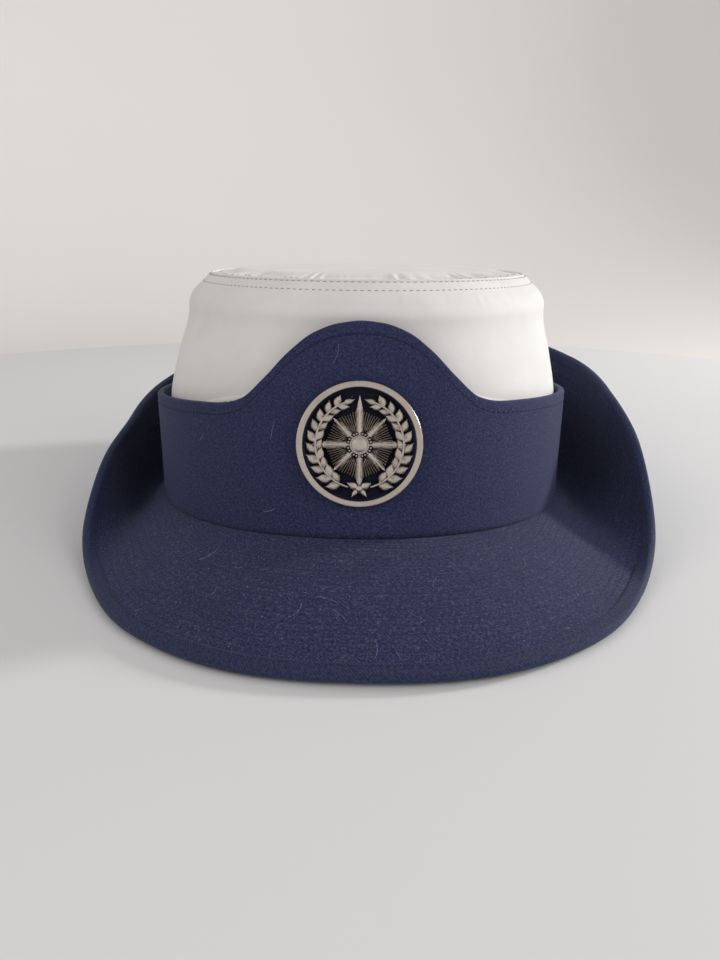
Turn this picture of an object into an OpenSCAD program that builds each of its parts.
// Service dress hat: stiffened oval brim, stand-up coronet with an ogee peak,
// lift-off white crown cover, sewn lining and sweatband, and a pierced cap badge.
// Millimetres. X across, front towards -Y, Z up, origin at the middle of the base.

/* [Head oval] */
// Half width of the seam where the coronet meets the brim
seam_half_w = 92; // [84:0.5:100]
// Half length of the same seam
seam_half_l = 108; // [98:0.5:118]
// Height of the seam at the front
seam_front_z = 23; // [17:0.5:28]
// Height of the seam at the sides
seam_side_z = 13.5; // [10:0.5:18]
// Height of the seam at the back
seam_back_z = 15.5; // [12:0.5:20]

/* [Brim] */
// Thickness of the brim cloth
cloth_t = 0.7; // [0.5:0.1:1.2]
// Thickness of the stiff layer inside the brim
brim_stiff_t = 1.0; // [0.8:0.1:2]
// Clear gap kept between sewn layers
layer_gap = 0.24; // [0.2:0.02:0.3]
// Radius of the wire in the brim edge
wire_r = 0.5; // [0.3:0.05:0.8]
// Thickness of the binding folded over the brim edge
binding_t = 0.5; // [0.3:0.05:0.8]
// Width of the binding on each face of the brim
binding_w = 5; // [3:0.5:8]

// How much further the brim reaches on its +X side than the middle
brim_sway = 4; // [0:0.5:6]
// How much higher the rolled brim rises on its +X side than the middle
brim_lift = 7; // [0:0.5:9]

/* [Coronet] */
// Height of the coronet peak at the front
coronet_peak_z = 95.3; // [85:0.1:105]
// Height of the coronet at the back
coronet_back_z = 50; // [40:1:56]
// How much higher the coronet is on its +X side than the middle
coronet_sway = 1.2; // [0:0.2:2]
// Lean of the coronet front, run over rise
coronet_lean_front = 0.19; // [0:0.01:0.25]
// Lean of the coronet back, run over rise
coronet_lean_back = 0.02; // [0:0.01:0.06]
// Thickness of the coronet stiffener
coronet_stiff_t = 0.9; // [0.6:0.1:1.4]
// Depth of the cloth turned over the coronet top
fold_depth = 8; // [5:0.5:12]

/* [Crown and cover] */
// Height where the cover sides end at the tip seam
cover_top_z = 106.5; // [98:0.5:116]
// Thickness of the white cover cloth
cover_t = 0.9; // [0.6:0.1:1.4]
// Clear gap between the cover and the stiff crown under it
cover_fit = 0.5; // [0.4:0.05:0.8]
// Thickness of the stiff crown wall
wall_t = 1.2; // [0.8:0.1:2]
// Drop from the top of the cover sides to the top of the stiff crown wall
wall_drop = 13.5; // [12:0.5:20]
// Height of the band round the cover hem
hem_band_h = 9; // [5:0.5:14]

// How far the crown top stands over towards +X
crown_sway = 2.5; // [0:0.5:4]

/* [Inside] */
// Height of the sweatband
sweatband_h = 34; // [24:1:42]
// Thickness of the sweatband
sweatband_t = 1.0; // [0.6:0.1:1.6]
// Thickness of the lining
lining_t = 0.5; // [0.3:0.05:0.8]

/* [Badge] */
// Radius of the badge ring
badge_r = 21.4; // [16:0.2:26]
// Height of the badge centre
badge_z = 55.2; // [48:0.2:60]
// Width of the badge ring
badge_ring_w = 2.2; // [1.4:0.1:3.5]
// Gap between the coronet and the back of the badge
badge_standoff = 0.5; // [0.4:0.05:1]
// Radius of the screw post
post_r = 1.5; // [1.2:0.05:2]
// Radius of the thumb nut
nut_r = 4.5; // [3.5:0.1:6]
// Travel of the nut for each turn
thread_pitch = 0.5; // [0.35:0.05:0.5]

/* [Hidden] */

$fn = 96;

navy = [0.09, 0.12, 0.27];
white = [0.93, 0.93, 0.92];
buckram = [0.82, 0.78, 0.68];
silver = [0.66, 0.65, 0.62];
steel = [0.5, 0.52, 0.54];
leather = [0.42, 0.29, 0.2];
satin = [0.2, 0.22, 0.3];

// Sections of every swept shell round the oval
stations = 60;
fit_gap = 0.2;
body_gap = 0.35;

// Brim centre line at angles from the front: near and far control points, then the edge
BRIM_ANGLE = [0, 15, 30, 45, 60, 75, 90, 110, 135, 180];
BRIM_NEAR_R = [17, 17, 17, 15, 14, 14, 14, 13, 12, 11];
BRIM_NEAR_Z = [18, 17.5, 15, 11, 6, -1, -5, -5, -6, -9.5];
BRIM_FAR_R = [35, 35.5, 34.5, 33, 31, 27, 24, 24, 25, 25];
BRIM_FAR_Z = [11, 10, 6, 1.5, -2, -2, 1, 1, -1, -4];
BRIM_EDGE_R = [52, 53, 50.5, 44, 37, 27, 20.5, 21.8, 24.5, 22];
BRIM_EDGE_Z = [1.7, 1.7, 1.7, 3, 13.5, 35.5, 48, 56.5, 62, 60];
// Places along the brim: -1 is its inner edge, 0 the seam, 1 the outer edge
BRIM_STEPS = [-1, 0, 0.12, 0.24, 0.36, 0.48, 0.62, 0.76, 0.89];

// Coronet top as a share of the rise from the back to the peak
TOP_ANGLE = [0, 6, 12, 18, 24, 30, 36, 45, 60, 90, 135, 180];
TOP_SHARE = [1, 0.98, 0.915, 0.775, 0.575, 0.405, 0.345, 0.313, 0.258, 0.145, 0.045, 0];

// Outside of the cover: reach in from the seam at heights, front, side and back
COVER_Z = [10, 30, 55, 75, for (drop = [18.5, 11.5, 6.5, 2.5, -0.5]) cover_top_z - drop];
COVER_FRONT = [-4.5, -8, -13.5, -17.5, -20.3, -21.5, -23, -25.2, -28.5];
COVER_SIDE = [-4.5, -4.4, -4.8, -9.1, -13.1, -14.4, -15.9, -19.6, -22.7];
COVER_BACK = [-4.2, -4.6, -7, -10.2, -12.7, -13.5, -15, -17.3, -20.5];
// Heights shared by the cover and the stiff wall, so that their facets lie side by side
WALL_LEVELS = [32, 45, 55, 65, 75, 84];
COVER_LEVELS = [45, 55, 65, 75, 84, for (drop = [13.5, 8.5, 4.5, 2]) cover_top_z - drop];
// Hem of the cover, cut up at the front to clear the badge nut
HEM_ANGLE = [0, 15, 30, 45, 60, 75, 90, 180];
HEM_Z = [82, 75, 60, 54, 44, 36, 30, 30];

wall_top_z = cover_top_z - wall_drop;
cloth_lo = max(brim_stiff_t/2, wire_r) + layer_gap;
half_stack = cloth_lo + cloth_t;
coronet_t = cloth_t + layer_gap + coronet_stiff_t + layer_gap + cloth_t;
wall_out = cover_t + cover_fit;
wall_in = wall_out + wall_t;
stay_out = wall_out + 0.3;
stay_in = wall_in + 0.4;
band_out = wall_in + fit_gap + 0.15;
lining_out = stay_in + fit_gap;
tip_seam_z = cover_top_z + 0.5;
badge_tilt = atan(coronet_lean_front);
ring_t = 1.6;
hole_r = 2.6;
eyelet_r = 2.4;
eyelet_bore = post_r + body_gap;
flange_r = 3.6;
flange_t = 0.3;
washer_t = 0.5;
washer_r = 6;
nut_t = 1.8;
nut_grooves = 16;
// Depths behind the coronet face, measured along the badge post
eyelet_in = coronet_t + layer_gap;
washer_at = eyelet_in + flange_t + body_gap;
nut_at = washer_at + washer_t + body_gap;
nut_turns = 3;
post_end = nut_at + nut_t + nut_turns*thread_pitch;

// ---- curves -------------------------------------------------------------
function clamp(v, lo, hi) = min(max(v, lo), hi);
function fold(t) = t > 180 ? 360 - t : t;
function segment(keys, x) =
    clamp(len([for (k = keys) if (k <= x) k]) - 1, 0, len(keys) - 2);
function rise(keys, vals, i) = (vals[i+1] - vals[i])/(keys[i+1] - keys[i]);
function slope(keys, vals, i, flat) =
    i == 0 ? (flat ? 0 : rise(keys, vals, 0)) :
    i == len(keys) - 1 ? (flat ? 0 : rise(keys, vals, i - 1)) :
    let(a = rise(keys, vals, i - 1), b = rise(keys, vals, i))
    a*b <= 0 ? 0 : 2*a*b/(a + b);
// Smooth curve through a table, flat at its ends when flat is true
function smooth(keys, vals, x, flat = true) =
    let(i = segment(keys, x), h = keys[i+1] - keys[i], u = (x - keys[i])/h,
        m0 = slope(keys, vals, i, flat), m1 = slope(keys, vals, i + 1, flat))
    (1 + 2*u)*pow(1 - u, 2)*vals[i] + u*pow(1 - u, 2)*h*m0
    + u*u*(3 - 2*u)*vals[i+1] + u*u*(u - 1)*h*m1;
// Front, side and back values run into each other round the oval
function round_oval(t, front, side, back) =
    side + ((cos(t) >= 0 ? front : back) - side)*pow(cos(t), 2);
function seam_z(t) = round_oval(t, seam_front_z, seam_side_z, seam_back_z);

function seam_normal(t) =
    let(n = [sin(t)/seam_half_w, -cos(t)/seam_half_l]) n/norm(n);
// A place [reach out from the seam, height] at angle t, in space
function place(t, rz, sway = 0) =
    let(n = seam_normal(t), aside = sway*max(0, rz[1] - seam_front_z)/(cover_top_z - seam_front_z))
    [seam_half_w*sin(t) + n[0]*rz[0] + aside, -seam_half_l*cos(t) + n[1]*rz[0], rz[1]];

function angle_at(j) = 360*j/stations;
function backwards(list) = [for (i = [len(list) - 1:-1:0]) list[i]];

// ---- brim ---------------------------------------------------------------
function brim_start(t) = [0, seam_z(t) - half_stack - 0.1];
// The share of the sway and lift that a control point takes
near_share = 0.3;
far_share = 0.7;
roll_full_z = 45;
function rolled(z) = clamp(z/roll_full_z, 0, 1);
function brim_edge_level(t) = smooth(BRIM_ANGLE, BRIM_EDGE_Z, fold(t));
function swayed(t, r, z, share) =
    [r + share*brim_sway*sin(t), z + share*share*brim_lift*sin(t)*rolled(brim_edge_level(t))];
function brim_near(t) = swayed(t, smooth(BRIM_ANGLE, BRIM_NEAR_R, fold(t)),
                               smooth(BRIM_ANGLE, BRIM_NEAR_Z, fold(t)), near_share);
function brim_far(t) = swayed(t, smooth(BRIM_ANGLE, BRIM_FAR_R, fold(t)),
                              smooth(BRIM_ANGLE, BRIM_FAR_Z, fold(t)), far_share);
function brim_edge(t) = swayed(t, smooth(BRIM_ANGLE, BRIM_EDGE_R, fold(t)), brim_edge_level(t), 1);
function brim_flange(t) = wall_in - cover_r(t, seam_z(t));
function unit(v) = v/norm(v);
function leftwards(v) = [-v[1], v[0]];
function brim_run(t, s) =
    s < 0 ? [1, 0] :
    let(p = brim_start(t), a = brim_near(t), b = brim_far(t), e = brim_edge(t), u = min(s, 1))
    3*(pow(1 - u, 2)*(a - p) + 2*u*(1 - u)*(b - a) + u*u*(e - b));
function brim_mid(t, s) =
    let(p = brim_start(t), a = brim_near(t), b = brim_far(t), e = brim_edge(t), u = min(s, 1))
    s < 0 ? p + [s*brim_flange(t), 0] :
    pow(1 - u, 3)*p + 3*u*pow(1 - u, 2)*a + 3*u*u*(1 - u)*b + pow(u, 3)*e
    + (s - u)*brim_run(t, 1);
function brim_up(t, s) =
    s == 0 ? unit([0, 1] + leftwards(unit(brim_run(t, 0)))) : leftwards(unit(brim_run(t, s)));
// A place along the brim, d above its centre line
function on_brim(t, s, d) = brim_mid(t, s) + d*brim_up(t, s);
// The share along the brim that lies a distance in from its edge
function from_edge(t, dist) = 1 - dist/norm(brim_run(t, 1));
function brim_layer(t, lo, hi, inset) =
    let(steps = concat(BRIM_STEPS, [from_edge(t, inset)]))
    concat([for (s = steps) on_brim(t, s, lo)], [for (s = backwards(steps)) on_brim(t, s, hi)]);

wire_inset = 1;
cloth_inset = wire_inset - wire_r - layer_gap;
bind_lo = half_stack + layer_gap;
bind_hi = bind_lo + binding_t;
bind_nose = cloth_inset - layer_gap;
bind_shoulder = bind_nose + 0.1;
// A place a distance in from the edge. The brim bends upwards, so the binding clears its layers
// above when it keeps to the curve, and below when it keeps to their straight last stretch.
function near_edge(t, dist, d) =
    d > 0 ? on_brim(t, from_edge(t, dist), d) :
    let(a = on_brim(t, BRIM_STEPS[len(BRIM_STEPS) - 1], d), b = on_brim(t, from_edge(t, cloth_inset), d))
    b + (dist - cloth_inset)*unit(a - b);
function binding_loop(t) =
    let(outer = bind_nose - binding_t)
    [near_edge(t, binding_w, -bind_hi), near_edge(t, bind_shoulder, -bind_hi),
     near_edge(t, outer, -half_stack), near_edge(t, outer, half_stack),
     near_edge(t, bind_shoulder, bind_hi), near_edge(t, binding_w, bind_hi),
     near_edge(t, binding_w, bind_lo), near_edge(t, bind_nose, bind_lo),
     near_edge(t, bind_nose, -bind_lo), near_edge(t, binding_w, -bind_lo)];

// ---- coronet ------------------------------------------------------------
side_flare = -0.01;
function coronet_lean(t) = round_oval(t, coronet_lean_front, side_flare, coronet_lean_back);
function top_z(t) =
    coronet_back_z + (coronet_peak_z - coronet_back_z)*smooth(TOP_ANGLE, TOP_SHARE, fold(t))
    + coronet_sway*sin(t);
// A place on the coronet, d behind its outer face
function on_coronet(t, d, z) = [-d - coronet_lean(t)*(z - seam_z(t)), z];
cloth_in = cloth_t;
stiff_a = cloth_t + layer_gap;
stiff_b = stiff_a + coronet_stiff_t;
facing_a = stiff_b + layer_gap;
edge_round = 0.5;
function base_z(t) = seam_z(t) + layer_gap;

// ---- crown --------------------------------------------------------------
function cover_r(t, z) = round_oval(t, smooth(COVER_Z, COVER_FRONT, z, false),
    smooth(COVER_Z, COVER_SIDE, z, false), smooth(COVER_Z, COVER_BACK, z, false));
function in_crown(t, d, z) = [cover_r(t, z) - d, z];
function band_loop(t, zs, outer, inner) =
    concat([for (z = zs) in_crown(t, outer, z)], [for (z = backwards(zs)) in_crown(t, inner, z)]);
function hem_z(t) = smooth(HEM_ANGLE, HEM_Z, fold(t));
function between(a, b, shares) = [for (s = shares) a + (b - a)*s];
// Shared heights from low to high, squeezed together where they would pass either end
level_step = 0.6;
function levels(low, list, high) =
    let(n = len(list))
    concat([low], [for (k = [0:n-1])
        clamp(list[k], low + level_step*(k + 1), high - level_step*(n - k))], [high]);

// ---- building -----------------------------------------------------------
// A closed band whose section at each station is a loop of [reach, height] places.
// Each patch is split along its shorter diagonal.
module swept(loops, sway = 0) {
    m = len(loops[0]);
    n = len(loops);
    polyhedron(
        points = [for (j = [0:n-1]) for (p = loops[j]) place(angle_at(j), p, sway)],
        faces = [for (j = [0:n-1]) for (i = [0:m-1])
            let(k = (j + 1) % n, l = (i + 1) % m,
                a = j*m + i, b = j*m + l, c = k*m + l, d = k*m + i,
                one = place(angle_at(j), loops[j][i]) - place(angle_at(k), loops[k][l]),
                two = place(angle_at(j), loops[j][l]) - place(angle_at(k), loops[k][i]))
            each norm(one) < norm(two) ? [[a, b, c], [a, c, d]] : [[a, b, d], [b, c, d]]],
        convexity = 6);
}
// A flat plate that follows the crown outline, d inside the cover face at height z
module crown_plate(d, z, thick, at_z) {
    translate([0, 0, at_z])
        linear_extrude(thick)
            polygon([for (j = [0:stations-1])
                let(p = place(angle_at(j), [cover_r(angle_at(j), z) - d, z], crown_sway)) [p[0], p[1]]]);
}
// The badge frame: +Z out of the coronet, +Y up its face, origin on the face
module on_badge_face() {
    face = place(0, on_coronet(0, 0, badge_z));
    translate(face) rotate([90 - badge_tilt, 0, 0]) children();
}
module badge_hole() {
    on_badge_face() translate([0, 0, -2*coronet_t]) cylinder(h = 4*coronet_t, r = hole_r);
}

module brim_top_cloth() {
    color(navy) swept([for (j = [0:stations-1])
        brim_layer(angle_at(j), cloth_lo, half_stack, cloth_inset)]);
}
module brim_interlining() {
    color(buckram) swept([for (j = [0:stations-1])
        brim_layer(angle_at(j), -brim_stiff_t/2, brim_stiff_t/2, wire_inset + wire_r + fit_gap)]);
}
module brim_under_cloth() {
    color(navy) swept([for (j = [0:stations-1])
        brim_layer(angle_at(j), -half_stack, -cloth_lo, cloth_inset)]);
}
module brim_edge_wire() {
    color(steel) swept([for (j = [0:stations-1]) let(t = angle_at(j), c = brim_mid(t, from_edge(t, wire_inset)))
        [for (a = [0:60:300]) c + wire_r*[cos(a), sin(a)]]]);
}
module brim_edge_binding() {
    color(navy) swept([for (j = [0:stations-1]) binding_loop(angle_at(j))]);
}

module coronet_outer_cloth() {
    color(navy) difference() {
        swept([for (j = [0:stations-1]) let(t = angle_at(j), top = top_z(t))
            [on_coronet(t, cloth_in, base_z(t)), on_coronet(t, 0, base_z(t)),
             on_coronet(t, 0, top - edge_round), on_coronet(t, edge_round, top),
             on_coronet(t, coronet_t - edge_round, top), on_coronet(t, coronet_t, top - edge_round),
             on_coronet(t, coronet_t, top - fold_depth), on_coronet(t, facing_a, top - fold_depth),
             on_coronet(t, facing_a, top - cloth_t), on_coronet(t, cloth_in, top - cloth_t)]]);
        badge_hole();
    }
}
module coronet_stiffener() {
    color(buckram) difference() {
        swept([for (j = [0:stations-1]) let(t = angle_at(j), top = top_z(t) - cloth_t - layer_gap)
            [on_coronet(t, stiff_b, base_z(t)), on_coronet(t, stiff_a, base_z(t)),
             on_coronet(t, stiff_a, top), on_coronet(t, stiff_b, top)]]);
        badge_hole();
    }
}
module coronet_facing() {
    color(navy) difference() {
        swept([for (j = [0:stations-1]) let(t = angle_at(j), top = top_z(t) - fold_depth - layer_gap)
            [on_coronet(t, coronet_t, base_z(t)), on_coronet(t, facing_a, base_z(t)),
             on_coronet(t, facing_a, top), on_coronet(t, coronet_t, top)]]);
        badge_hole();
    }
}
strip_w = 12;
strip_t = 0.8;
module coronet_back_strip() {
    low = seam_back_z + 2;
    out = place(180, on_coronet(180, 0, low));
    color(navy) translate([-strip_w/2, out[1] + fit_gap, low])
        cube([strip_w, strip_t, coronet_back_z - low - 3]);
}
module coronet_eyelet() {
    color(steel) on_badge_face() difference() {
        union() {
            translate([0, 0, -eyelet_in - flange_t]) cylinder(h = eyelet_in + 2*flange_t, r = eyelet_r);
            translate([0, 0, -eyelet_in - flange_t]) cylinder(h = flange_t, r = flange_r);
        }
        translate([0, 0, -2*eyelet_in]) cylinder(h = 4*eyelet_in, r = eyelet_bore);
    }
}

module crown_wall() {
    color(buckram) swept([for (j = [0:stations-1]) let(t = angle_at(j))
        band_loop(t, backwards(levels(base_z(t), WALL_LEVELS, wall_top_z)), wall_in, wall_out)], crown_sway);
}
stay_h = 7;
board_t = 1.2;
module crown_stay_ring() {
    low = wall_top_z + layer_gap;
    color(white) swept([for (j = [0:stations-1])
        band_loop(angle_at(j), [low + stay_h, low + 0.7*stay_h, low], stay_in, stay_out)], crown_sway);
}
module crown_tip_board() {
    low = wall_top_z + stay_h + 2*layer_gap;
    color(buckram) crown_plate(stay_out, low + board_t + 1, board_t, low);
}

band_below = 6;
module sweatband() {
    color(leather) swept([for (j = [0:stations-1])
        let(t = angle_at(j), z = seam_z(t), foot = cover_r(t, z) - band_out)
        [[foot - sweatband_t, z - band_below], [foot, z - band_below], [foot, z],
         in_crown(t, band_out, z + sweatband_h/2 - band_below),
         in_crown(t, band_out, z + sweatband_h - band_below),
         in_crown(t, band_out + sweatband_t, z + sweatband_h - band_below),
         in_crown(t, band_out + sweatband_t, z + sweatband_h/2 - band_below),
         [foot - sweatband_t, z]]], crown_sway);
}
reed_r = 0.9;
module sweatband_reed() {
    color(white) swept([for (j = [0:stations-1])
        let(t = angle_at(j), z = seam_z(t), r = cover_r(t, z) - band_out - sweatband_t/2)
        [for (a = [30:60:330]) [r, z - band_below - reed_r - layer_gap] + reed_r*[cos(a), sin(a)]]], crown_sway);
}
bow_t = 0.8;
function band_back_y(z) = place(180, in_crown(180, band_out + sweatband_t, z))[1];
module sweatband_bow() {
    z = seam_back_z + 14;
    y = band_back_y(z) - fit_gap - 3*bow_t;
    color(satin) translate([0, y, z]) rotate([-90, 0, 0]) {
        linear_extrude(bow_t) polygon([[0, -1.2], [9, -4], [9, 4], [0, 1.2], [-9, 4], [-9, -4]]);
        translate([-1.6, -1.9, -bow_t]) cube([3.2, 3.8, bow_t]);
    }
}
module lining_side() {
    color(white) swept([for (j = [0:stations-1])
        let(t = angle_at(j), low = seam_z(t) + sweatband_h - band_below + fit_gap,
            zs = between(low, wall_top_z + stay_h - 2, [1, 0.8, 0.5, 0]))
        band_loop(t, zs, lining_out + lining_t, lining_out)], crown_sway);
}
module lining_tip() {
    color(white) crown_plate(lining_out, wall_top_z + stay_h, lining_t, wall_top_z + stay_h - 2 + 2*layer_gap);
}
tab_h = 7;
size_tab_w = 14;
module size_tab() {
    z = seam_back_z + 19.5;
    curve_room = pow(size_tab_w/2, 2)/(2*seam_half_w*seam_half_w/seam_half_l);
    color(white) translate([-size_tab_w/2, band_back_y(z + tab_h) - fit_gap - lining_t - curve_room, z])
        cube([size_tab_w, lining_t, tab_h]);
}

leaf_step = 15.5;
leaf_sweep = 9;
leaf_reach_out = 4.9;
leaf_reach_in = 3.6;
stem_half = 0.5;
wreath_r = 14.6;
wreath_leaves = 9;
wreath_start = -68;
function polar(r, a) = r*[cos(a), sin(a)];
// One branch as a single outline, leaf tips outside and inside its stem
module wreath_branch() {
    at = [for (k = [0:wreath_leaves-1]) wreath_start + k*leaf_step];
    polygon(concat(
        [for (a = at) each [polar(wreath_r + stem_half, a),
                            polar(wreath_r + leaf_reach_out, a + leaf_sweep)]],
        [polar(wreath_r, wreath_start + wreath_leaves*leaf_step)],
        [for (a = backwards(at)) each [polar(wreath_r - leaf_reach_in, a + leaf_sweep),
                                       polar(wreath_r - stem_half, a)]]));
}
ring_bite = 0.3;
star_long = badge_r - badge_ring_w + ring_bite;
star_short = 10.5;
star_waist = 3.6;
module star_plate(scale_by) {
    polygon([for (k = [0:15])
        polar(scale_by*(k % 2 == 1 ? star_waist : k % 4 == 0 ? star_long : star_short), 22.5*k)]);
}
wreath_lift = 0.15;
wreath_t = 1;
star_t = 1.4;
knot_r = 2.2;
module cap_badge() {
    color(silver) on_badge_face() translate([0, 0, badge_standoff]) {
        difference() {
            cylinder(h = ring_t, r = badge_r);
            translate([0, 0, -1]) cylinder(h = ring_t + 2, r = badge_r - badge_ring_w);
        }
        for (side = [0, 1]) mirror([side, 0, 0]) translate([0, 0, wreath_lift])
            linear_extrude(wreath_t) wreath_branch();
        linear_extrude(star_t) star_plate(1);
        translate([0, 0, wreath_lift]) linear_extrude(star_t + 0.4) star_plate(0.62);
        translate([0, -wreath_r, wreath_lift]) cylinder(h = star_t + wreath_lift, r = knot_r);
    }
}
module badge_screw_post() {
    color(steel) on_badge_face() translate([0, 0, -post_end])
        cylinder(h = post_end + badge_standoff - layer_gap, r = post_r);
}
module badge_washer() {
    color(steel) on_badge_face() translate([0, 0, -washer_at - washer_t]) difference() {
        cylinder(h = washer_t, r = washer_r);
        translate([0, 0, -1]) cylinder(h = washer_t + 2, r = eyelet_bore);
    }
}
module badge_thumb_nut() {
    color(silver) on_badge_face() translate([0, 0, -nut_at - nut_t]) difference() {
        cylinder(h = nut_t, r = nut_r);
        translate([0, 0, -1]) cylinder(h = nut_t + 2, r = eyelet_bore);
        for (k = [0:nut_grooves-1]) rotate(360*k/nut_grooves) translate([nut_r, 0, -1])
            cylinder(h = nut_t + 2, r = 0.35, $fn = 24);
    }
}

module cover_side_panel() {
    color(white) swept([for (j = [0:stations-1])
        let(t = angle_at(j), zs = backwards(levels(hem_z(t), COVER_LEVELS, cover_top_z)))
        band_loop(t, zs, cover_t, 0)], crown_sway);
}
tip_in = 1.8;
module cover_tip() {
    color(white) crown_plate(tip_in, tip_seam_z, cover_t, tip_seam_z);
}
cord_r = 0.6;
module cover_tip_cord() {
    color(white) swept([for (j = [0:stations-1])
        let(t = angle_at(j), c = [cover_r(t, tip_seam_z) - tip_in/2, tip_seam_z + cover_t - cord_r - 0.1])
        [for (a = [30:60:330]) c + cord_r*[cos(a), sin(a)]]], crown_sway);
}
hem_band_t = 0.5;
// The coronet leans over the band at the front, so the band stays this far below the wall top
hem_band_clear = 9;
module cover_hem_band() {
    color(white) swept([for (j = [0:stations-1])
        let(t = angle_at(j), low = hem_z(t), top = min(low + hem_band_h, wall_top_z - hem_band_clear))
        band_loop(t, [top, low], -layer_gap, -layer_gap - hem_band_t)], crown_sway);
}
tab_w = 10;
module cover_pull_tab() {
    z = 42;
    face = place(180, in_crown(180, 0, z));
    color(white) translate([-tab_w/2, face[1] + fit_gap, z])
        cube([tab_w, hem_band_t, 18]);
}

// The lowest point of the brim stands on the ground, and its base is centred on the origin
brim_places = [for (j = [0:stations-1]) let(t = angle_at(j))
    for (p = concat(binding_loop(t), brim_layer(t, -half_stack, -cloth_lo, cloth_inset))) place(t, p)];
function middle(axis) = let(v = [for (p = brim_places) p[axis]]) (min(v) + max(v))/2;
to_base = [-middle(0), -middle(1), -min([for (p = brim_places) p[2]])];

translate(to_base) {
    brim_top_cloth();
    brim_interlining();
    brim_under_cloth();
    brim_edge_wire();
    brim_edge_binding();
    crown_wall();
    crown_stay_ring();
    crown_tip_board();
    coronet_outer_cloth();
    coronet_stiffener();
    coronet_facing();
    coronet_back_strip();
    coronet_eyelet();
    sweatband();
    sweatband_reed();
    sweatband_bow();
    lining_side();
    lining_tip();
    size_tab();
    cap_badge();
    badge_screw_post();
    badge_washer();
    badge_thumb_nut();
    cover_side_panel();
    cover_tip();
    cover_tip_cord();
    cover_hem_band();
    cover_pull_tab();
}
echo(to_base = to_base);
